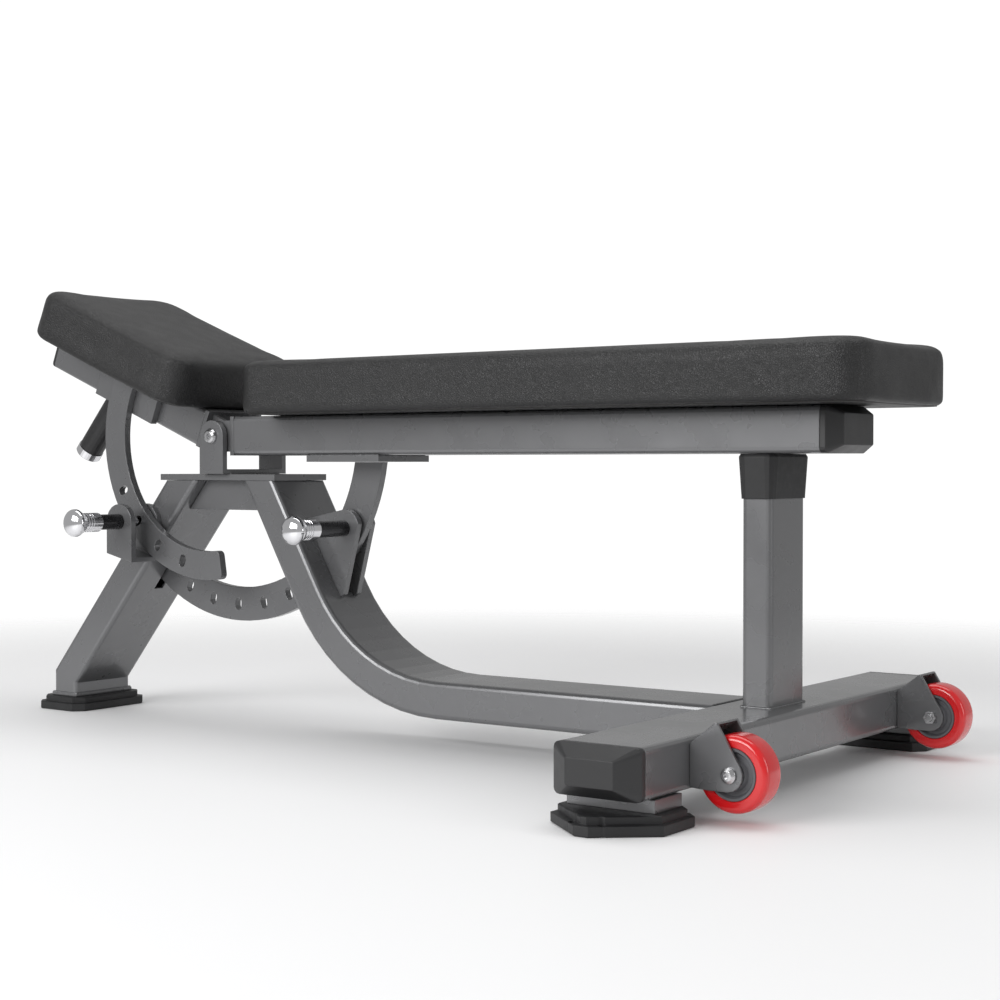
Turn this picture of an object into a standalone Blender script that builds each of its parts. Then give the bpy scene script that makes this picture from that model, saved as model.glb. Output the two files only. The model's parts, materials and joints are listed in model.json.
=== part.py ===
"""Adjustable weight bench: bent-tube frame, tilting seat and back, two pop pins and two transport wheels.

Metres, +Z up. +X runs from the seat to the head end, +Y to the lifter's left. The floor is Z = 0.
Shapes are laid out from the hinge line that seat and back share, then moved so that the origin is
under the middle of the bench.
"""
import math

import bmesh
import bpy
from mathutils import Matrix, Vector

# Clearances
GAP = 0.0003          # left between pieces that touch or are welded
FIT = 0.0003          # round a shaft in its bore, on the radius
SLOT_CLEAR = 0.003    # beside an arc plate that runs through a slot
SLOT_RUNOUT = 0.018   # how much further than the arc a slot runs at its lower end

# Hinge line of seat and back
HINGE_HEIGHT = 0.375
HINGE_BOLT_RADIUS = 0.006
HINGE_EYE_RADIUS = 0.020
HINGE_REACH = 0.024   # from the hinge line to the end of each tube

# Steel tubes: width across the bench, depth, wall and corner radius
TUBE_WIDTH = 0.100
TUBE_DEPTH = 0.050
BEAM_DEPTH = 0.045
WALL = 0.003
CORNER = 0.006
CORNER_STEPS = 3

# Main beam: flat run behind, large bend, inclined run up to the top plate
BEAM_ANGLE = math.radians(60.5)
BEAM_VERTEX_X = 0.2187
BEAM_BEND_RADIUS = 0.230
BEAM_BEND_STEPS = 10

# Front leg
LEG_TOP_X = -0.0646
LEG_ANGLE = math.radians(50.4)
LEG_KNEE_HEIGHT = 0.045

# Top plate, brace between the legs, hinge bracket
PLATE_START = -0.102
PLATE_END = 0.100
PLATE_TOP = 0.326
PLATE_THICKNESS = 0.008
BRACE_WIDTH = 0.064
BRACE_DEPTH = 0.038
BRACKET_WIDTH = 0.120
BRACKET_WALL = 0.008
BRACKET_WEB = 0.006
BRACKET_HALF_LENGTH = 0.0205

# Rear crossbar, post and bumper
CROSSBAR_X = 0.7715
CROSSBAR_WIDTH = 0.096
CROSSBAR_TOP = 0.081
CROSSBAR_HALF = 0.344
POST_X = 0.773
POST_LENGTH = 0.035
POST_WIDTH = 0.080
POST_TOP = 0.335
BUMPER_BOTTOM = 0.302
BUMPER_FLARE = 0.005

# End caps
COLLAR = 0.0065
PYRAMID = 0.015
PLUG_LENGTH = 0.025

# Feet
FRONT_FOOT_LENGTH = 0.088
FRONT_FOOT_WIDTH = 0.132
REAR_FOOT_LENGTH = 0.124
REAR_FOOT_WIDTH = 0.114
REAR_FOOT_Y = 0.322
REAR_FOOT_POINT = (0.054, 0.044)  # the long slanted corners at its outer end
FOOT_STEP_HEIGHT = 0.010
FOOT_HEIGHT = 0.018
FOOT_STEP = 0.005
FOOT_CHAMFER = 0.013
FOOT_HOLE_RADIUS = 0.004
BASE_PLATE = 0.004
BASE_LIP = 0.0015
RISER_WIDTH = 0.050

# Transport wheels
WHEEL_X = 0.8615
WHEEL_Y = 0.243
WHEEL_HEIGHT = 0.049
WHEEL_RADIUS = 0.0375
WHEEL_WIDTH = 0.032
HUB_RADIUS = 0.025
BEARING_RADIUS = 0.011
BEARING_PROUD = 0.0017  # how far the bearing stands out of the hub, each side
AXLE_RADIUS = 0.004
FORK_WALL = 0.003
FORK_NOSE = 0.016      # round end of each cheek, about the axle

# Back
BACK_TUBE_END = 0.850
DOUBLER_START = 0.154
DOUBLER_END = 0.269
DOUBLER = 0.008
BACK_ARC_HOLE_RADIUS = 0.2195
BACK_ARC_WIDTH = 0.044
BACK_ARC_END = math.radians(229)
BACK_PIN_ANGLE = math.radians(328)
BACK_STEP = math.radians(11.85)
BACK_HOLES = 8
BACK_PAD_START = 0.089
BACK_PAD_END = 0.930

# Seat, in its own level frame, which SEAT_TILT turns about the hinge line
SEAT_TILT = math.radians(22)
SEAT_TUBE_END = 0.3247
SEAT_CAP = 0.004
SEAT_ARC_HOLE_RADIUS = 0.1665
SEAT_ARC_WIDTH = 0.037
SEAT_ARC_END = math.radians(121)
SEAT_PIN_ANGLE = math.radians(221.9)
SEAT_STEP = math.radians(16.8)
SEAT_HOLES = 4
SPACER_START = 0.108
SPACER_END = 0.222
SEAT_PAD_START = 0.028
SEAT_PAD_END = 0.322

# Arc plates and their holes
ARC_THICKNESS = 0.010
ARC_ANGLE_STEP = math.radians(4)
HOLE_STRETCH = 0.006  # how much longer than wide a hole is, towards the hinge

# Pads
PAD_WIDTH = 0.250
PAD_THICKNESS = 0.066
PAD_CORNER = 0.040
PAD_EDGE = 0.012
BOARD_THICKNESS = 0.012
BOARD_INSET = 0.010

# Pop pins
PIN_RADIUS = 0.0047
PIN_TRAVEL = 0.014
BARREL_RADIUS = 0.010
SPRING_CHAMBER = 0.0076
SPRING_WIRE = 0.0009
SPRING_TURNS = 5
KNOB_RADIUS = 0.0178
KNOB_LENGTH = 0.048
SLEEVE_RADIUS = 0.0125
SLEEVE_DEPTH = 0.026
SLEEVE_LAP = 0.002
SEAT_BARREL = 0.040
BACK_BARREL = 0.058
BRACKET_PLATE = 0.008
SEAT_BRACKET_DEPTH = 0.054
SEAT_BRACKET_WIDTH = 0.046
SEAT_BRACKET_FALL = 0.011  # its lower edge slopes down by this much towards the head end
BACK_GUSSET_GAP = 0.018
BACK_GUSSET_RADIUS = 0.024
BACK_GUSSET_RISE = 0.040
BACK_GUSSET_DROP = 0.072

# Handle under the seat
HANDLE_START = 0.231
HANDLE_LEAN = math.radians(19)
HANDLE_LENGTH = 0.113
HANDLE_RADIUS = 0.012
GRIP_RADIUS = 0.017
GRIP_START = 0.012
GRIP_END = 0.101
GRIP_RING_RADIUS = 0.018

# Hinge lugs
LUG_PLATE = 0.006
LUG_WALL = 0.008
BACK_LUG_OUTSIDE = 0.0495
SEAT_LUG_OUTSIDE = 0.0395

SEGMENTS = 24

# Worked out from the sizes above
CROSSBAR_BOTTOM = CROSSBAR_TOP - TUBE_DEPTH
CROSSBAR_FACE = CROSSBAR_X + CROSSBAR_WIDTH / 2
BEAM_HEIGHT = CROSSBAR_TOP - BEAM_DEPTH / 2
PLATE_BOTTOM = PLATE_TOP - PLATE_THICKNESS
TUBE_BOTTOM = HINGE_HEIGHT - TUBE_DEPTH / 2
LEG_KNEE_X = LEG_TOP_X - (PLATE_BOTTOM - LEG_KNEE_HEIGHT) / math.tan(LEG_ANGLE)
FOOT_FRONT = LEG_KNEE_X - FRONT_FOOT_LENGTH / 2
SHIFT = Vector((-(FOOT_FRONT + BACK_PAD_END) / 2, 0, 0))
SEAT_ARC_Y = -(TUBE_WIDTH / 2 + GAP + ARC_THICKNESS + GAP + ARC_THICKNESS / 2)
SEAT_PLATE_Y = -(TUBE_WIDTH / 2 + SEAT_BRACKET_DEPTH)
BACK_PLATE_Y = -(BACK_GUSSET_GAP / 2 + BRACKET_PLATE)
SEAT_LUG_INSIDE = SEAT_LUG_OUTSIDE - LUG_WALL
BEARING_LENGTH = WHEEL_WIDTH + 2 * BEARING_PROUD
FORK_GAP = BEARING_LENGTH + 2 * GAP

LOOKS = {
    # colour, roughness, metallic
    "frame_paint": ((0.17, 0.17, 0.175), 0.32, 0.55),
    "black_plastic": ((0.018, 0.018, 0.020), 0.42, 0.0),
    "rubber": ((0.012, 0.012, 0.012), 0.60, 0.0),
    "vinyl": ((0.010, 0.010, 0.011), 0.50, 0.0),
    "plywood": ((0.30, 0.20, 0.11), 0.75, 0.0),
    "chrome": ((0.80, 0.80, 0.82), 0.10, 1.0),
    "steel": ((0.55, 0.55, 0.57), 0.28, 1.0),
    "barrel": ((0.06, 0.06, 0.065), 0.30, 0.8),
    "tyre": ((0.75, 0.012, 0.015), 0.22, 0.0),
    "hub": ((0.10, 0.10, 0.11), 0.45, 0.0),
}


def clear_scene():
    for item in list(bpy.data.objects):
        bpy.data.objects.remove(item, do_unlink=True)


def material(name, look):
    colour, roughness, metallic = LOOKS[look]
    mat = bpy.data.materials.new(name)
    mat.use_nodes = True
    shader = mat.node_tree.nodes["Principled BSDF"]
    shader.inputs["Base Color"].default_value = (*colour, 1)
    shader.inputs["Roughness"].default_value = roughness
    shader.inputs["Metallic"].default_value = metallic
    mat.diffuse_color = (*colour, 1)
    return mat


def make_object(name, bm, look=None, smooth=True, parent=None):
    """An object from a bmesh. Without a look it is a cutter, which stays out of the model."""
    bmesh.ops.recalc_face_normals(bm, faces=bm.faces)
    mesh = bpy.data.meshes.new(name)
    bm.to_mesh(mesh)
    bm.free()
    if smooth:
        mesh.shade_smooth()
        mesh.set_sharp_from_angle(angle=math.radians(32))
    item = bpy.data.objects.new(name, mesh)
    bpy.context.scene.collection.objects.link(item)
    if parent:
        item.parent = parent
    else:
        item.location = SHIFT
    if look:
        mesh.materials.append(material(name, look))
    else:
        item.hide_render = True
        item.display_type = "WIRE"
    return item


def hinge_empty(name, tilt):
    empty = bpy.data.objects.new(name, None)
    empty.location = SHIFT + Vector((0, 0, HINGE_HEIGHT))
    empty.rotation_euler.y = tilt
    bpy.context.scene.collection.objects.link(empty)
    return empty


def cut(item, *cutters):
    for cutter in cutters:
        step = item.modifiers.new(cutter.name, "BOOLEAN")
        step.operation = "DIFFERENCE"
        step.solver = "EXACT"
        step.object = cutter


# Outlines: lists of 2-D points

def arc_points(centre, radius, start, end, steps):
    for i in range(steps + 1):
        angle = start + (end - start) * i / steps
        yield centre[0] + radius * math.cos(angle), centre[1] + radius * math.sin(angle)


def rounded_rectangle(width, height, radius, steps=CORNER_STEPS):
    points = []
    for corner in range(4):
        side = 1 if corner in (0, 3) else -1
        top = 1 if corner < 2 else -1
        centre = (side * (width / 2 - radius), top * (height / 2 - radius))
        start = corner * math.pi / 2
        points += arc_points(centre, radius, start, start + math.pi / 2, steps)
    return points


def circle(radius, segments=SEGMENTS, centre=(0, 0)):
    return list(arc_points(centre, radius, 0, 2 * math.pi * (segments - 1) / segments, segments - 1))


def hexagon(across_flats):
    return list(arc_points((0, 0), across_flats / math.sqrt(3), 0, math.pi * 5 / 3, 5))


def filleted(corners, steps=5):
    """Corners are (x, z, radius). Each one with a radius becomes an arc."""
    points = []
    count = len(corners)
    for i, (x, z, radius) in enumerate(corners):
        here = Vector((x, z))
        if not radius:
            points.append((x, z))
            continue
        before = (Vector(corners[i - 1][:2]) - here).normalized()
        after = (Vector(corners[(i + 1) % count][:2]) - here).normalized()
        half = before.angle(after) / 2
        centre = here + (before + after).normalized() * radius / math.sin(half)
        first = here + before * radius / math.tan(half) - centre
        last = here + after * radius / math.tan(half) - centre
        turn = first.angle_signed(last)
        for k in range(steps + 1):
            spoke = Matrix.Rotation(-turn * k / steps, 2) @ first
            points.append(tuple(centre + spoke))
    return points


def obround(angle, radius, half_width, stretch, steps=5):
    """A hole with round ends, longer along its line to the hinge."""
    out = Vector((math.cos(angle), math.sin(angle)))
    points = []
    for end, start in ((1, -math.pi / 2), (-1, math.pi / 2)):
        middle = out * (radius + end * stretch / 2)
        points += arc_points(middle, half_width, angle + start, angle + start + math.pi, steps)
    return points


# Solids

def skin(bm, rings, closed_ends=True, loop=False):
    """Joins rings of points, all with the same count, by quads."""
    verts = [[bm.verts.new(p) for p in ring] for ring in rings]
    pairs = list(zip(verts, verts[1:]))
    if loop:
        pairs.append((verts[-1], verts[0]))
    for low, high in pairs:
        for i in range(len(low)):
            j = (i + 1) % len(low)
            bm.faces.new((low[i], low[j], high[j], high[i]))
    if closed_ends and not loop:
        bm.faces.new(verts[0])
        bm.faces.new(verts[-1])
    return verts


def loft(name, rings, look=None, parent=None, smooth=True):
    bm = bmesh.new()
    skin(bm, rings)
    return make_object(name, bm, look, smooth, parent)


def hollow_loft(name, outer, inner, look, parent=None):
    """A tube that is open at both ends."""
    bm = bmesh.new()
    outside = skin(bm, outer, closed_ends=False)
    inside = skin(bm, inner, closed_ends=False)
    for a, b in ((outside[0], inside[0]), (outside[-1], inside[-1])):
        for i in range(len(a)):
            j = (i + 1) % len(a)
            bm.faces.new((a[i], a[j], b[j], b[i]))
    return make_object(name, bm, look, True, parent)


def prism(name, outline, low, high, look=None, parent=None, smooth=True):
    """An outline in the XZ plane, extruded along Y."""
    rings = [[Vector((x, y, z)) for x, z in outline] for y in (low, high)]
    return loft(name, rings, look, parent, smooth)


def section_rings(frames, outline):
    """The outline's first value goes along Y, its second along each frame's depth vector."""
    return [[origin + Vector((0, across, 0)) + depth * along for across, along in outline]
            for origin, depth in frames]


def bent_tube(name, frames, width, depth, look, parent=None):
    outer = rounded_rectangle(width, depth, CORNER)
    inner = rounded_rectangle(width - 2 * WALL, depth - 2 * WALL, CORNER - WALL)
    return hollow_loft(name, section_rings(frames, outer), section_rings(frames, inner), look, parent)


def turned(name, profile, centre, axis, look=None, parent=None, segments=SEGMENTS, loop=False):
    """Profile points are (radius, distance along the axis). A looped profile is a ring."""
    turn = Vector((0, 0, 1)).rotation_difference(Vector(axis)).to_matrix()
    rings = [[Vector(centre) + turn @ Vector((x, y, along)) for x, y in circle(radius, segments)]
             for radius, along in profile]
    bm = bmesh.new()
    skin(bm, rings, loop=loop)
    return make_object(name, bm, look, True, parent)


def rod_cutter(name, radius, centre, axis, length, parent=None):
    return turned(name, [(radius, -length / 2), (radius, length / 2)], centre, axis, parent=parent)


def box_outline(x0, x1, z0, z1):
    return [(x0, z0), (x1, z0), (x1, z1), (x0, z1)]


def pyramid_cap(name, frame, width, depth, inset, parent=None):
    """A plug, a collar as wide as the tube, and a four-sided face. frame maps (a, b, out) to a point."""
    plug = rounded_rectangle(width - 2 * WALL - 2 * GAP, depth - 2 * WALL - 2 * GAP, CORNER - WALL)
    body = rounded_rectangle(width, depth, CORNER)
    face = rounded_rectangle(width - 2 * inset[0], depth - 2 * inset[1], CORNER / 3)
    layers = [(plug, -PLUG_LENGTH), (plug, GAP), (body, GAP), (body, COLLAR), (face, COLLAR + PYRAMID)]
    rings = [[frame(a, b, out) for a, b in outline] for outline, out in layers]
    return loft(name, rings, "black_plastic", parent)


# Frame

def leg_slot(name, base, along, side_from, side_to, walls):
    """A cutter that lets the back's arc through a leg. Sides are measured across the leg."""
    across = Vector((-along.z, 0, along.x))
    span = []
    for side in walls:
        start = base + across * side - Vector((0, 0, HINGE_HEIGHT))
        lean = start.dot(along)
        for edge in (-1, 1):
            radius = BACK_ARC_HOLE_RADIUS + edge * BACK_ARC_WIDTH / 2
            span.append(-lean - math.sqrt(lean ** 2 - start.dot(start) + radius ** 2))
    low = min(span) - SLOT_RUNOUT
    high = max(span) + SLOT_CLEAR
    corners = [base + along * s + across * d for s, d in
               ((low, side_from), (high, side_from), (high, side_to), (low, side_to))]
    half = ARC_THICKNESS / 2 + SLOT_CLEAR
    return prism(name, [(c.x, c.z) for c in corners], -half, half)


def main_beam():
    run = Vector((math.cos(BEAM_ANGLE), 0, -math.sin(BEAM_ANGLE)))
    vertex = Vector((BEAM_VERTEX_X, 0, BEAM_HEIGHT))
    tangent = BEAM_BEND_RADIUS * math.tan(BEAM_ANGLE / 2)
    climb = (PLATE_BOTTOM - GAP - vertex.z) / math.sin(BEAM_ANGLE)
    frames = [(vertex - run * climb, Vector((1 / math.sin(BEAM_ANGLE), 0, 0)))]
    centre = vertex + Vector((tangent, 0, BEAM_BEND_RADIUS))
    for i in range(BEAM_BEND_STEPS + 1):
        angle = BEAM_ANGLE * (1 - i / BEAM_BEND_STEPS)
        up = Vector((math.sin(angle), 0, math.cos(angle)))
        frames.append((centre - up * BEAM_BEND_RADIUS, up))
    end = Vector((CROSSBAR_X - CROSSBAR_WIDTH / 2 - GAP, 0, BEAM_HEIGHT))
    frames.append((end, Vector((0, 0, 1))))
    beam = bent_tube("main_beam", frames, TUBE_WIDTH, BEAM_DEPTH, "frame_paint")
    face = BEAM_DEPTH / 2
    cut(beam, leg_slot("main_beam_slot_cutter", vertex, -run, -face - WALL, face + WALL, (-face, face)))


def front_leg():
    run = Vector((-math.cos(LEG_ANGLE), 0, -math.sin(LEG_ANGLE)))
    knee = Vector((LEG_KNEE_X, 0, LEG_KNEE_HEIGHT))
    climb = (PLATE_BOTTOM - GAP - knee.z) / math.sin(LEG_ANGLE)
    half = (math.pi / 2 - LEG_ANGLE) / 2
    mitre = Vector((math.cos(half), 0, -math.sin(half))) / math.cos(half)
    bottom = Vector((knee.x, 0, FOOT_HEIGHT + GAP + BASE_PLATE + GAP))
    frames = [(knee - run * climb, Vector((1 / math.sin(LEG_ANGLE), 0, 0))),
              (knee, mitre), (bottom, Vector((1, 0, 0)))]
    leg = bent_tube("front_leg", frames, TUBE_WIDTH, BEAM_DEPTH, "frame_paint")
    face = -BEAM_DEPTH / 2
    walls = (face, face + WALL)
    cut(leg, leg_slot("front_leg_slot_cutter", knee, -run, face - WALL, face + 2 * WALL, walls))


def top_plate():
    prism("top_plate", box_outline(PLATE_START, PLATE_END, PLATE_BOTTOM, PLATE_TOP),
          -TUBE_WIDTH / 2, TUBE_WIDTH / 2, "frame_paint")


def leg_brace():
    """A box between the legs, under the top plate, with its ends cut to the legs' slopes."""
    top = PLATE_BOTTOM - GAP
    bottom = top - BRACE_DEPTH
    front = LEG_TOP_X + BEAM_DEPTH / 2 / math.sin(LEG_ANGLE) + GAP
    beam_top = BEAM_VERTEX_X - (PLATE_BOTTOM - BEAM_HEIGHT) / math.tan(BEAM_ANGLE)
    rear = beam_top - BEAM_DEPTH / 2 / math.sin(BEAM_ANGLE) - GAP
    lean_front = BRACE_DEPTH / math.tan(LEG_ANGLE)
    lean_rear = BRACE_DEPTH / math.tan(BEAM_ANGLE)
    outline = [(front - lean_front + GAP, bottom), (rear + lean_rear - GAP, bottom),
               (rear - GAP, top), (front + GAP, top)]
    prism("leg_brace", outline, -BRACE_WIDTH / 2, BRACE_WIDTH / 2, "frame_paint")


def hinge_bracket():
    """A U of thick strip on the top plate, with round-topped ears for the hinge bolt."""
    base = PLATE_TOP + GAP
    half = BRACKET_HALF_LENGTH
    ear = [(-half, base), (half, base)] + list(arc_points((0, HINGE_HEIGHT), half, 0, math.pi, 12))
    bracket = prism("hinge_bracket", ear, -BRACKET_WIDTH / 2, BRACKET_WIDTH / 2, "frame_paint")
    inside = BRACKET_WIDTH / 2 - BRACKET_WALL
    channel = box_outline(-2 * half, 2 * half, base + BRACKET_WEB, HINGE_HEIGHT + 2 * half)
    centre = (0, 0, HINGE_HEIGHT)
    cut(bracket, prism("hinge_channel_cutter", channel, -inside, inside),
        rod_cutter("hinge_bore_cutter", HINGE_BOLT_RADIUS + FIT, centre, (0, 1, 0), 2 * BRACKET_WIDTH))


def hinge_bolt():
    """Button-head bolt across both ears, with a nut, and a spacer between the seat's lugs."""
    face = BRACKET_WIDTH / 2
    r = HINGE_BOLT_RADIUS
    head = [(0.0032, face + 0.006 - 0.0035), (0.0032, face + 0.006), (0.006, face + 0.006),
            (0.0085, face + 0.0045), (0.010, face + 0.002), (0.010, face + GAP)]
    profile = head + [(r, face + GAP), (r, -face - 0.014), (r - 0.001, -face - 0.015)]
    turned("hinge_bolt", profile, (0, 0, HINGE_HEIGHT), (0, -1, 0), "steel")
    nut("hinge_nut", (0, face + GAP, HINGE_HEIGHT), (0, 1, 0), 0.018, 0.010, r + FIT)
    half = SEAT_LUG_INSIDE - GAP
    turned("hinge_spacer", [(r + FIT, -half), (r + 0.003, -half), (r + 0.003, half), (r + FIT, half)],
           (0, 0, HINGE_HEIGHT), (0, 1, 0), "steel", loop=True)


def nut(name, seat, axis, across_flats, height, bore):
    turn = Vector((0, 0, 1)).rotation_difference(Vector(axis)).to_matrix()
    corners = hexagon(across_flats)
    low, high = ([Vector(seat) + turn @ Vector((x, y, z)) for x, y in corners] for z in (0, height))
    item = loft(name, [low, high], "steel")
    cut(item, rod_cutter(name + "_cutter", bore, seat, axis, 4 * height))


def crossbar():
    origin = Vector((CROSSBAR_X, 0, CROSSBAR_TOP - TUBE_DEPTH / 2))
    outer = rounded_rectangle(CROSSBAR_WIDTH, TUBE_DEPTH, CORNER)
    inner = rounded_rectangle(CROSSBAR_WIDTH - 2 * WALL, TUBE_DEPTH - 2 * WALL, CORNER - WALL)
    rings = [[[origin + Vector((a, y, b)) for a, b in outline] for y in (-CROSSBAR_HALF, CROSSBAR_HALF)]
             for outline in (outer, inner)]
    hollow_loft("rear_crossbar", rings[0], rings[1], "frame_paint")
    for name, side in (("right", -1), ("left", 1)):
        end = origin + Vector((0, side * CROSSBAR_HALF, 0))
        pyramid_cap(f"crossbar_cap_{name}", lambda a, b, out, end=end, side=side:
                    end + Vector((a, side * out, b)), CROSSBAR_WIDTH, TUBE_DEPTH, (0.022, 0.012))


def post():
    """Upright with a rubber bumper cap that the back rests on."""
    outer = rounded_rectangle(POST_LENGTH, POST_WIDTH, CORNER)
    inner = rounded_rectangle(POST_LENGTH - 2 * WALL, POST_WIDTH - 2 * WALL, CORNER - WALL)
    rings = [[[Vector((POST_X + a, b, z)) for a, b in outline] for z in (CROSSBAR_TOP + GAP, POST_TOP)]
             for outline in (outer, inner)]
    hollow_loft("support_post", rings[0], rings[1], "frame_paint")
    layers = []
    for grow, z in ((0.002, BUMPER_BOTTOM), (BUMPER_FLARE, TUBE_BOTTOM - 2 * GAP - 0.003),
                    (BUMPER_FLARE - 0.002, TUBE_BOTTOM - GAP)):
        outline = rounded_rectangle(POST_LENGTH + 2 * grow, POST_WIDTH + 2 * grow, CORNER + grow)
        layers.append([Vector((POST_X + a, b, z)) for a, b in outline])
    bumper = loft("post_bumper", layers, "rubber")
    outline = rounded_rectangle(POST_LENGTH + 2 * FIT, POST_WIDTH + 2 * FIT, CORNER + FIT)
    pocket = [[Vector((POST_X + a, b, z)) for a, b in outline]
              for z in (BUMPER_BOTTOM - 0.01, POST_TOP + GAP)]
    cut(bumper, loft("bumper_pocket_cutter", pocket))


def foot(name, centre, length, width, near, far, holes):
    """A stepped rubber foot. near and far are the cuts of its corners at the -Y and +Y ends."""
    layers = []
    for inset, z in ((0.001, 0), (0, 0.001), (0, FOOT_STEP_HEIGHT),
                     (FOOT_STEP, FOOT_STEP_HEIGHT + 0.001), (FOOT_STEP, FOOT_HEIGHT - 0.001),
                     (FOOT_STEP + 0.001, FOOT_HEIGHT)):
        a, b = length / 2 - inset, width / 2 - inset
        outline = []
        for side, end, (cut_x, cut_y) in ((1, -1, near), (1, 1, far), (-1, 1, far), (-1, -1, near)):
            pair = [(side * (a - cut_x), end * b), (side * a, end * (b - cut_y))]
            outline += pair if side == -end else pair[::-1]
        layers.append([Vector((centre[0] + x, centre[1] + y, z)) for x, y in outline])
    item = loft(name, layers, "rubber")
    for i, (x, y) in enumerate(holes):
        place = (centre[0] + x, centre[1] + y, 0)
        cut(item, rod_cutter(f"{name}_hole_cutter_{i}", FOOT_HOLE_RADIUS, place, (0, 0, 1), 0.1))


def feet():
    small = (FOOT_CHAMFER, FOOT_CHAMFER)
    row = FRONT_FOOT_LENGTH / 2 - FOOT_STEP - 0.002 - FOOT_HOLE_RADIUS
    holes = [(x, y) for x in (-row, row) for y in (-FRONT_FOOT_WIDTH / 5, FRONT_FOOT_WIDTH / 5)]
    foot("front_foot", (LEG_KNEE_X, 0), FRONT_FOOT_LENGTH, FRONT_FOOT_WIDTH, small, small, holes)
    low = FOOT_HEIGHT + GAP
    half = BEAM_DEPTH / 2 + BASE_LIP
    prism("front_base_plate", box_outline(LEG_KNEE_X - half, LEG_KNEE_X + half, low, low + BASE_PLATE),
          -TUBE_WIDTH / 2 - BASE_LIP, TUBE_WIDTH / 2 + BASE_LIP, "frame_paint")
    for name, side in (("right", -1), ("left", 1)):
        y = side * REAR_FOOT_Y
        cuts = (REAR_FOOT_POINT, small)
        row = side * (REAR_FOOT_WIDTH / 2 - FOOT_STEP - 0.003 - FOOT_HOLE_RADIUS)
        holes = [(-0.016, row), (0.016, row)]
        foot(f"rear_foot_{name}", (CROSSBAR_X, y), REAR_FOOT_LENGTH, REAR_FOOT_WIDTH, *cuts[::-side], holes)
        half = CROSSBAR_WIDTH / 2
        outline = box_outline(CROSSBAR_X - half, CROSSBAR_X + half, low, CROSSBAR_BOTTOM - GAP)
        inner = y - side * (REAR_FOOT_WIDTH / 2 - FOOT_CHAMFER)
        prism(f"rear_riser_{name}", outline, *sorted((inner, inner + side * RISER_WIDTH)), "frame_paint")


# Transport wheels

def wheel_fork(name, y):
    """Folded sheet on the crossbar's face: two cheeks, a back plate and a roof that slopes up to a peak."""
    back = CROSSBAR_FACE + GAP
    foot_end = Vector((back, 0.0755))
    peak = Vector((back + 0.028, 0.098))
    low = WHEEL_HEIGHT - FORK_NOSE
    corners = [(back, 0.034, 0), (*foot_end, 0), (*peak, 0.002),
               (WHEEL_X + 1.65 * FORK_NOSE, low, FORK_NOSE), (back + 0.018, low, 0.008)]
    half = FORK_GAP / 2
    fork = prism(name, filleted(corners), y - half - FORK_WALL, y + half + FORK_WALL, "frame_paint")
    slope = (peak - foot_end).normalized()
    under = foot_end + Vector((slope.y, -slope.x)) * FORK_WALL
    start = under + slope * (back + FORK_WALL - under.x) / slope.x
    end = under + slope * 0.1
    opening = [(start.x, -0.01), tuple(start), tuple(end), (WHEEL_X + 0.1, -0.01)]
    cut(fork, prism(f"{name}_opening_cutter", opening, y - half, y + half),
        rod_cutter(f"{name}_bore_cutter", AXLE_RADIUS + FIT, (WHEEL_X, y, WHEEL_HEIGHT), (0, 1, 0), 0.1))


def wheel_axle(name, y, side):
    """Domed bolt, head outside, hexagon nut inside."""
    face = FORK_GAP / 2 + FORK_WALL + GAP
    profile = [(0.0025, face + 0.003), (0.0025, face + 0.0055), (0.0050, face + 0.0052),
               (0.0078, face + 0.002), (0.0078, face), (AXLE_RADIUS, face), (AXLE_RADIUS, -face - 0.0085)]
    centre = (WHEEL_X, y, WHEEL_HEIGHT)
    turned(f"wheel_axle_{name}", profile, centre, (0, side, 0), "steel")
    nut(f"wheel_nut_{name}", (WHEEL_X, y - side * face, WHEEL_HEIGHT), (0, -side, 0), 0.013, 0.0065,
        AXLE_RADIUS + FIT)


def wheel(name, y):
    centre = (WHEEL_X, y, WHEEL_HEIGHT)
    half = WHEEL_WIDTH / 2
    edge = 0.006
    inner = HUB_RADIUS + GAP
    tyre = [(inner, -half), (WHEEL_RADIUS - edge, -half), (WHEEL_RADIUS - 0.0018, -half + 0.0022),
            (WHEEL_RADIUS, -half + edge), (WHEEL_RADIUS, half - edge),
            (WHEEL_RADIUS - 0.0018, half - 0.0022), (WHEEL_RADIUS - edge, half), (inner, half)]
    turned(f"wheel_tyre_{name}", tyre, centre, (0, 1, 0), "tyre", segments=32, loop=True)
    bore = BEARING_RADIUS + GAP
    dish = 0.004
    hub = [(bore, -half), (bore + 0.003, -half), (bore + 0.004, dish - half),
           (HUB_RADIUS - 0.004, dish - half), (HUB_RADIUS - 0.003, -half), (HUB_RADIUS, -half)]
    hub += [(r, -along) for r, along in reversed(hub)]
    turned(f"wheel_hub_{name}", hub, centre, (0, 1, 0), "hub", loop=True)
    half = BEARING_LENGTH / 2
    bore = AXLE_RADIUS + FIT
    ring = [(bore, -half), (BEARING_RADIUS, -half), (BEARING_RADIUS, half), (bore, half)]
    turned(f"wheel_bearing_{name}", ring, centre, (0, 1, 0), "steel", loop=True)


def wheels():
    for name, side in (("right", -1), ("left", 1)):
        y = side * WHEEL_Y
        wheel_fork(f"wheel_fork_{name}", y)
        wheel_axle(name, y, side)
        wheel(name, y)


# Arc plates and pop pins

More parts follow.
